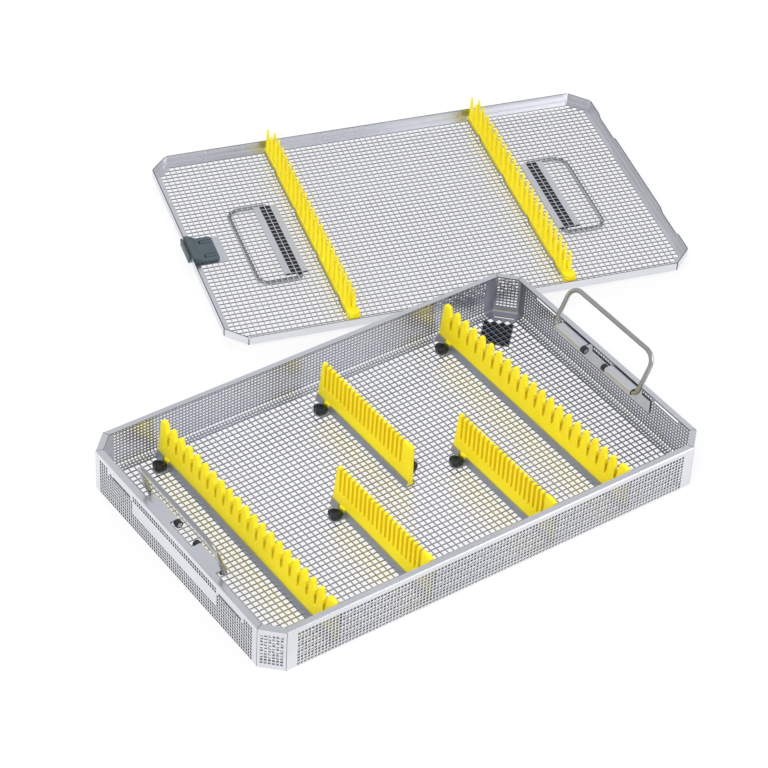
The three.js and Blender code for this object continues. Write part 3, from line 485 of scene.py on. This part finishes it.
def bent_wire(start, heading, moves):
    """A wire drawn from start; each move is a straight length, or an axis, a radius and an angle."""
    shape = bmesh.new()
    turn_to = Vector((0, 0, 1)).rotation_difference(Vector(heading)).to_matrix().to_4x4()
    bmesh.ops.create_circle(shape, segments=wire_sides, radius=wire_radius,
                            matrix=Matrix.Translation(start) @ turn_to)
    rim = shape.edges[:]
    at, ahead = Vector(start), Vector(heading).normalized()
    for move in moves:
        if isinstance(move, tuple):
            axis, bend, angle = Vector(move[0]), move[1], math.radians(move[2])
            centre = at + axis.cross(ahead).normalized() * bend
            rim = fold(shape, rim, centre, axis, angle, int(abs(move[2]) / bend_step))
            turn = Matrix.Rotation(angle, 3, axis)
            at = centre + turn @ (at - centre)
            ahead = turn @ ahead
        else:
            rim = [edge for edge in run_on(shape, rim, ahead * move) if edge.is_boundary]
            at = at + ahead * move
    bmesh.ops.holes_fill(shape, edges=shape.edges, sides=0)
    bmesh.ops.remove_doubles(shape, verts=shape.verts, dist=merge_reach)
    bmesh.ops.recalc_face_normals(shape, faces=shape.faces)
    return shape


def bail_wire(half_span, height, foot_end):
    """A bail drawn upright over its pivot line, from one foot's end round to the other's."""
    foot_turn = ((0, 1, 0), foot_bend, 90)
    grip_turn = ((0, 1, 0), grip_bend, 90)
    foot_run = half_span - foot_end - foot_bend
    leg_run = height - foot_bend - grip_bend
    return bent_wire((-foot_end, 0, 0), (-1, 0, 0), [
        foot_run, foot_turn, leg_run, grip_turn, half_span + half_span - grip_bend - grip_bend,
        grip_turn, leg_run, foot_turn, foot_run])


def smooth(piece, limit=40):
    """Smooth shading up to a limit; an open edge stays sharp, so a sheet's thickness does too."""
    for face in piece.data.polygons:
        face.use_smooth = True
    piece.data.set_sharp_from_angle(angle=math.radians(limit))
    faces_on = Counter(key for face in piece.data.polygons for key in face.edge_keys)
    for edge in piece.data.edges:
        if faces_on[edge.key] == 1:
            edge.use_edge_sharp = True


def bracket_sheet():
    """The plate on the wall, and two straps that go on from it and roll round the wire."""
    shape = bmesh.new()
    plate_place = Matrix.Translation((0, plate_inset, (plate_low + plate_high) / 2))
    plate_size = Matrix.Diagonal((plate_half, (plate_high - plate_low) / 2, 1, 1))
    bmesh.ops.create_grid(shape, x_segments=1, y_segments=1, size=1,
                          matrix=plate_place @ Matrix.Rotation(math.pi / 2, 4, "X") @ plate_size)
    for stop in (-sleeve_end, -sleeve_start, sleeve_start, sleeve_end):
        cut(shape, (stop, 0, 0), (1, 0, 0))
    rim = []
    for low_x, high_x in ((-sleeve_end, -sleeve_start), (sleeve_start, sleeve_end)):
        rim += loose_edges(shape, lambda at: at.z > plate_high - near and low_x - near < at.x < high_x + near)
    last = Vector((0, plate_inset, plate_high))
    for point in strap_path:
        grown = run_on(shape, rim, point - last)
        rim = [edge for edge in grown if abs(edge.verts[0].co.x - edge.verts[1].co.x) > near]
        last = point
    fold(shape, rim, (0, pivot_inset, pivot_height), (1, 0, 0), -sleeve_turn, sleeve_steps)
    bmesh.ops.remove_doubles(shape, verts=shape.verts, dist=merge_reach)
    face_outward(shape, Vector((0, -1, 0)))
    return shape


for side, lean in bail_lean.items():
    x, y, turn, _ = sides[side]
    bail_shape = bail_wire(bail_half, bail_height, bail_foot_end)
    bail_place = (side_place(x, y, 0, turn) @ Matrix.Translation((0, pivot_inset, pivot_height))
                  @ Matrix.Rotation(math.radians(lean), 4, "X"))
    bmesh.ops.transform(bail_shape, matrix=bail_place, verts=bail_shape.verts)
    smooth(steel_piece(f"bail_{side}", bail_shape, polished_wire, f"tray_handle_{side}",
                       f"{side}_handle", wall=0))
    bracket_shape = bracket_sheet()
    bmesh.ops.transform(bracket_shape, matrix=side_place(x, y, 0, turn), verts=bracket_shape.verts)
    smooth(steel_piece(f"rolled_bracket_{side}", bracket_shape, satin_steel,
                       f"handle_bracket_{side}", "tray"), limit=30)

# Combs: cast yellow silicone with the sprues trimmed off, so every edge is slightly
# round and the surface is matt with a faint powdery bloom. A rail holds the foot of
# each, and the slots of the two long combs have small ribs on their faces.
comb_edge = 0.35 * mm
comb_end = 7 * mm
slot_floor = 9 * mm
rib = 0.5 * mm
# Depths under the tips: of the ribs, and of the place where the painted shade in the slots begins.
long_comb_ribs = (9.6 * mm, 11.6 * mm, 13.8 * mm)
long_comb_shade, short_comb_shade = 9 * mm, 3 * mm
flat_turn, sharp_turn = math.radians(1), math.radians(20)
soft_edge_limit = 35
rail_names = ["long_left", "front_left", "rear_middle", "front_right", "long_right"]
yellow_silicone = clouded_material(
    "yellow_silicone", dark=(0.93, 0.745, 0.008), light=(1.0, 0.86, 0.02), roughness=(0.42, 0.56),
    metallic=0.0, clouds=40, grains=700, bump=0.2, specular=0.4)
# The same silicone in a deeper yellow: painted shade down inside the slots.
slot_shade_silicone = clouded_material(
    "slot_shade_silicone", dark=(0.76, 0.53, 0.004), light=(0.86, 0.64, 0.008), roughness=(0.5, 0.64),
    metallic=0.0, clouds=40, grains=700, bump=0.2, specular=0.3)


def softened_copy(name, node, material, body, width):
    """A merged copy of a CAD node with its sharp edges rounded off."""
    shape = bmesh.new()
    shape.from_mesh(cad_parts[node].data)
    bmesh.ops.remove_doubles(shape, verts=shape.verts, dist=2 * merge_reach)
    bmesh.ops.dissolve_limit(shape, angle_limit=flat_turn, verts=shape.verts, edges=shape.edges)
    sharp = [edge for edge in shape.edges if edge.is_manifold and edge.calc_face_angle() > sharp_turn]
    bmesh.ops.bevel(shape, geom=sharp, offset=width, segments=2, profile=0.5, affect="EDGES",
                    clamp_overlap=True, material=-1)
    piece = steel_piece(name, shape, material, node, body, wall=0)
    smooth(piece, soft_edge_limit)
    return piece


def rib_and_shade_slots(piece, ribs, shade_depth):
    """Raises ribs across the faces inside the slots and paints their lower part a deeper yellow as shade."""
    shape = bmesh.new()
    shape.from_mesh(piece.data)
    tips = max(vert.co.z for vert in shape.verts)
    back = max(vert.co.y for vert in shape.verts) - comb_end
    front = min(vert.co.y for vert in shape.verts) + comb_end

    def slot_faces(upright, below=math.inf):
        return [face for face in shape.faces if abs(face.normal.y) > upright
                and slot_floor < face.calc_center_median().z < below
                and front < face.calc_center_median().y < back]

    for depth in ribs:
        for level in (tips - depth - rib, tips - depth, tips - depth + rib):
            slots = slot_faces(upright=0.8)
            parts = slots + list({edge for face in slots for edge in face.edges})
            parts += list({vert for face in slots for vert in face.verts})
            bmesh.ops.bisect_plane(shape, geom=parts, dist=cut_reach, plane_co=(0, 0, level),
                                   plane_no=(0, 0, 1))
        for face in slot_faces(upright=0.8):
            for vert in face.verts:
                if abs(vert.co.z - tips + depth) < merge_reach and not vert.tag:
                    vert.co.y += math.copysign(rib, face.normal.y)
                    vert.tag = True
    # The slot faces below the shade depth get the deeper yellow, painted shade; the sloped rib faces keep the
    # plain yellow.
    for face in slot_faces(upright=0.85, below=tips - shade_depth):
        face.material_index = 1
    shape.to_mesh(piece.data)
    shape.free()
    piece.data.materials.append(slot_shade_silicone)
    smooth(piece, soft_edge_limit)


for name in rail_names:
    comb = softened_copy(f"silicone_comb_{name}", f"finger_comb_{name}", yellow_silicone,
                         f"{name}_rail", comb_edge)
    if name.startswith("long"):
        rib_and_shade_slots(comb, long_comb_ribs, long_comb_shade)
    else:
        rib_and_shade_slots(comb, (), short_comb_shade)

# Lid: a steel sheet punched with the floor's pitch, with a low flange folded up along
# all eight sides. It lies upside down, so the brackets of its handles are under it.
lid_middle, lid_turn = Vector((203.6, 260.2, 0)) * mm, math.radians(-16.6)
lid_place = Matrix.Translation(lid_middle) @ Matrix.Rotation(lid_turn, 4, "Z")
lid_rest = 5.9 * mm
lid_half = Vector((204.5, 129.5)) * mm
lid_fold, lid_flange, lid_fold_steps = 1.8 * mm, 8.5 * mm, 5
lid_chamfer, lid_corner_border = 16.38 * mm, 26.4 * mm
lid_bar = 1.0 * mm
lid_columns, lid_rows = 79, 49
# Plain strips where the handle brackets are welded, and a plain patch by the latch.
strip_half = 48 * mm
strip_spans = ((112.5 * mm, 117.5 * mm), (127.5 * mm, 132.5 * mm))
latch_patch_x, latch_patch_half = -172 * mm, 19 * mm
# Two low places in the flange of the end away from the latch.
notch_start, notch_end, notch_depth = 56 * mm, 89 * mm, 2.5 * mm


def lid_holes(at):
    """The edges and corners are plain, and so are the welded strips and the place of the latch."""
    across, up = abs(at.x), abs(at.y)
    on_strip = up < strip_half and any(low < across < high for low, high in strip_spans)
    by_latch = at.x < latch_patch_x and up < latch_patch_half
    inside = across < lid_columns / 2 * floor_pitch and up < lid_rows / 2 * floor_pitch
    in_corner = across + up >= lid_half.x + lid_half.y - lid_corner_border
    return inside and not on_strip and not by_latch and not in_corner


lid_shape = perforated(lid_columns + 2, lid_rows + 2, floor_pitch, lid_bar, lid_holes)
stretch_edges(lid_shape, lid_columns, lid_rows, floor_pitch, lid_half.x - lid_fold, lid_half.y - lid_fold)
corner_inset = lid_fold * math.sqrt(2) / 2
cut_corners(lid_shape, lid_half.x - corner_inset, lid_half.y - corner_inset, lid_chamfer)
for turn in range(0, 360, 45):
    out = Vector((math.cos(math.radians(turn)), math.sin(math.radians(turn)), 0))
    reach = max(vert.co.dot(out) for vert in lid_shape.verts
                if vert.is_boundary and abs(vert.co.z) < merge_reach)
    flange = loose_edges(lid_shape, lambda at: abs(at.z) < merge_reach and abs(at.dot(out) - reach) < 2 * near)
    flange = fold(lid_shape, flange, out * reach + Vector((0, 0, lid_fold)), out.cross((0, 0, 1)),
                  math.pi / 2, lid_fold_steps)
    run_on(lid_shape, flange, (0, 0, lid_flange - lid_fold))
bmesh.ops.remove_doubles(lid_shape, verts=lid_shape.verts, dist=merge_reach)
for vert in lid_shape.verts:
    on_end = vert.co.x > lid_half.x - 10 * near and vert.co.z > lid_flange - near
    if on_end and notch_start < abs(vert.co.y) < notch_end:
        vert.co.z -= notch_depth
face_outward(lid_shape, Vector((0, 0, -1)))
bmesh.ops.translate(lid_shape, verts=lid_shape.verts, vec=(0, 0, lid_rest))
bmesh.ops.transform(lid_shape, matrix=lid_place, verts=lid_shape.verts)
steel_piece("perforated_lid", lid_shape, satin_steel, "lid_sheet", "lid")

# Lid handles and pin combs: the same bent wire, folded flat outward under the lid in
# brackets that lie in shade, and two rows of soft yellow pins on each side, held down
# by a bent wire clip.
lid_bail_half, lid_bail_height, lid_bail_foot_end = 52 * mm, 36 * mm, 13.7 * mm
lid_pivot_x, lid_pivot_height = 119 * mm, 2.9 * mm
pin_comb_x, pin_row_x = 95 * mm, 2.3 * mm
pin_root, pin_rise, pin_taper = 13 * mm, 18.7 * mm, 0.62
pin_edge = 0.2 * mm
shaded_steel = clouded_material(
    "shaded_steel", dark=(0.05, 0.052, 0.055), light=(0.13, 0.132, 0.14), roughness=(0.3, 0.45),
    metallic=0.9, clouds=30, grains=900, bump=0.2)


def finish_node(name, material):
    """Gives a CAD node, kept as it is, its finish."""
    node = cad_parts[name]
    node.data.materials.clear()
    node.data.materials.append(material)
    return node


def taper_pins(comb, across):
    """Draws each row of pins in towards its middle as they rise, down to needle tips."""
    for vert in comb.data.vertices:
        at = lid_place.inverted() @ vert.co
        share = (at.z - pin_root) / pin_rise
        if share > 0:
            row = across + math.copysign(pin_row_x, at.x - across)
            at.x = row + (at.x - row) * (1 - pin_taper * min(share, 1))
            vert.co = lid_place @ at


for side, direction in (("left", -1), ("right", 1)):
    lid_bail = bail_wire(lid_bail_half, lid_bail_height, lid_bail_foot_end)
    bail_place = (lid_place @ side_place(direction * lid_pivot_x, 0, lid_pivot_height, direction * 90)
                  @ Matrix.Rotation(math.pi / 2, 4, "X"))
    bmesh.ops.transform(lid_bail, matrix=bail_place, verts=lid_bail.verts)
    smooth(steel_piece(f"lid_bail_{side}", lid_bail, polished_wire, f"lid_handle_{side}",
                       f"lid_{side}_handle", wall=0))
    finish_node(f"lid_handle_bracket_{side}", shaded_steel)
    pin_comb = softened_copy(f"pin_comb_{side}", f"lid_pin_comb_{side}", yellow_silicone, "lid", pin_edge)
    taper_pins(pin_comb, direction * pin_comb_x)
    smooth(finish_node(f"lid_comb_clip_{side}", polished_wire))

# Rails and knobs: grey channels that hold the combs, each locked through the floor by
# two moulded black plastic knobs. A knob has three wings round a dished top with a
# low boss.
knob_radius, knob_points = 6.1 * mm, 60
wing_count, wing_turn, wing_depth, wing_shape = 3, math.radians(15), 0.36, 1.6
# Each ring of a knob: share of the radius, mm over the bottom or under the top, share of the wings.
knob_rings_low = ((0.30, 0, 0), (0.30, 2.1, 0), (0.90, 2.1, 0.7), (1.0, 2.9, 1))
knob_rings_high = ((1.0, 2.4, 1), (0.94, 1.3, 1), (0.82, 0.6, 0.95), (0.66, 0.2, 0.8), (0.54, 0.1, 0.6),
                   (0.44, 1.0, 0.4), (0.34, 2.2, 0.1), (0.22, 2.4, 0))
rail_grey = clouded_material(
    "rail_grey", dark=(0.34, 0.365, 0.41), light=(0.45, 0.475, 0.52), roughness=(0.3, 0.44),
    metallic=0.6, clouds=30, grains=800, bump=0.2)
black_plastic = clouded_material(
    "black_plastic", dark=(0.007, 0.011, 0.016), light=(0.018, 0.026, 0.034), roughness=(0.12, 0.26),
    metallic=0.0, clouds=60, grains=900, bump=0.25)


def lobed_knob(node):
    """A stack of rings drawn as a plain column, then brought to their shares inside the node's box."""
    corners = [node.matrix_world @ Vector(corner) for corner in node.bound_box]
    low = Vector([min(corner[way] for corner in corners) for way in range(3)])
    high = Vector([max(corner[way] for corner in corners) for way in range(3)])
    middle = (low + high) / 2
    rings = [(share, low.z + height * mm, wings) for share, height, wings in knob_rings_low]
    rings += [(share, high.z - depth * mm, wings) for share, depth, wings in knob_rings_high]
    shape = bmesh.new()
    bmesh.ops.create_circle(shape, cap_ends=True, segments=knob_points, radius=1)
    rim = shape.edges[:]
    for _ in rings[1:]:
        rim = [edge for edge in run_on(shape, rim, (0, 0, 1)) if edge.is_boundary]
    bmesh.ops.holes_fill(shape, edges=rim, sides=0)
    for vert in shape.verts:
        share, height, wings = rings[round(vert.co.z)]
        turn = math.atan2(vert.co.y, vert.co.x)
        dip = ((1 - math.cos(wing_count * (turn + wing_turn))) / 2) ** wing_shape
        reach = knob_radius * share * (1 - wing_depth * wings * dip)
        vert.co = (min(max(middle.x + reach * math.cos(turn), low.x), high.x),
                   min(max(middle.y + reach * math.sin(turn), low.y), high.y), height)
    bmesh.ops.recalc_face_normals(shape, faces=shape.faces)
    return shape


for name in rail_names:
    finish_node(f"comb_rail_{name}", rail_grey)
    for end in ("back", "front"):
        knob_node = f"rail_knob_{name}_{end}"
        knob = steel_piece(f"lobed_knob_{name}_{end}", lobed_knob(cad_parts[knob_node]), black_plastic,
                           knob_node, f"{name}_{end}_knob", wall=0)
        smooth(knob, limit=50)

# Bushes: short black plastic sleeves, one at the inner end of each rolled strap. The
# bail's turned-in foot runs out of the strap through its bush.
bush_edge = 0.2 * mm
for side in ("left", "right"):
    for end in "ab":
        softened_copy(f"bush_{side}_{end}", f"handle_bush_{side}_{end}", black_plastic, "tray", bush_edge)

# Corner pad: a thin mat moulded in black plastic and let in under the floor, seen as
# the domed nubs that come up through the holes of the net, with its bars between them.
pad_middle, pad_turn = Vector((171.28, 101.23, 0)) * mm, math.radians(135)
pad_place = Matrix.Translation(pad_middle) @ Matrix.Rotation(pad_turn, 4, "Z")
mat_size, mat_middle = Vector((25, 28.5, 0.1)) * mm, 0.1 * mm
nub_rows, nub_columns = 8, 4
nub_size, nub_middle, nub_foot = Vector((1.75, 1.75, 1.7)) * mm, 0.9 * mm, 0.05 * mm
pad_shape = bmesh.new()
bmesh.ops.create_cube(pad_shape, size=1, matrix=pad_place @ Matrix.Translation((0, 0, mat_middle))
                      @ Matrix.Diagonal((*mat_size, 1)))
for row in range(nub_rows):
    nub_count = nub_columns - row % 2
    for nub in range(nub_count):
        at = pad_place @ Vector(((nub - (nub_count - 1) / 2) * floor_pitch * math.sqrt(2),
                                 (row - (nub_rows - 1) / 2) * floor_pitch / math.sqrt(2), 0))
        hole = Vector(((math.floor(at.x / floor_pitch) + 0.5) * floor_pitch,
                       (math.floor(at.y / floor_pitch) + 0.5) * floor_pitch, nub_middle))
        dome = Matrix.Translation(hole) @ Matrix.Diagonal((*nub_size, 1))
        bmesh.ops.create_uvsphere(pad_shape, u_segments=16, v_segments=8, radius=1, matrix=dome)
for vert in pad_shape.verts:
    vert.co.z = max(vert.co.z, nub_foot)
smooth(steel_piece("nubbed_pad", pad_shape, black_plastic, "corner_pad", "tray", wall=0))

# Latch: a body with two sprung tongues at the lid's left end, moulded in slate-coloured
# plastic, and a slider of the same with its grip outside the flange.
latch_edge = 0.3 * mm
slate_plastic = clouded_material(
    "slate_plastic", dark=(0.05, 0.075, 0.085), light=(0.075, 0.11, 0.12), roughness=(0.35, 0.5),
    metallic=0.0, clouds=50, grains=900, bump=0.3)
softened_copy("latch_case", "latch_body", slate_plastic, "lid", latch_edge)
softened_copy("latch_grip", "latch_slider", slate_plastic, "latch", latch_edge)
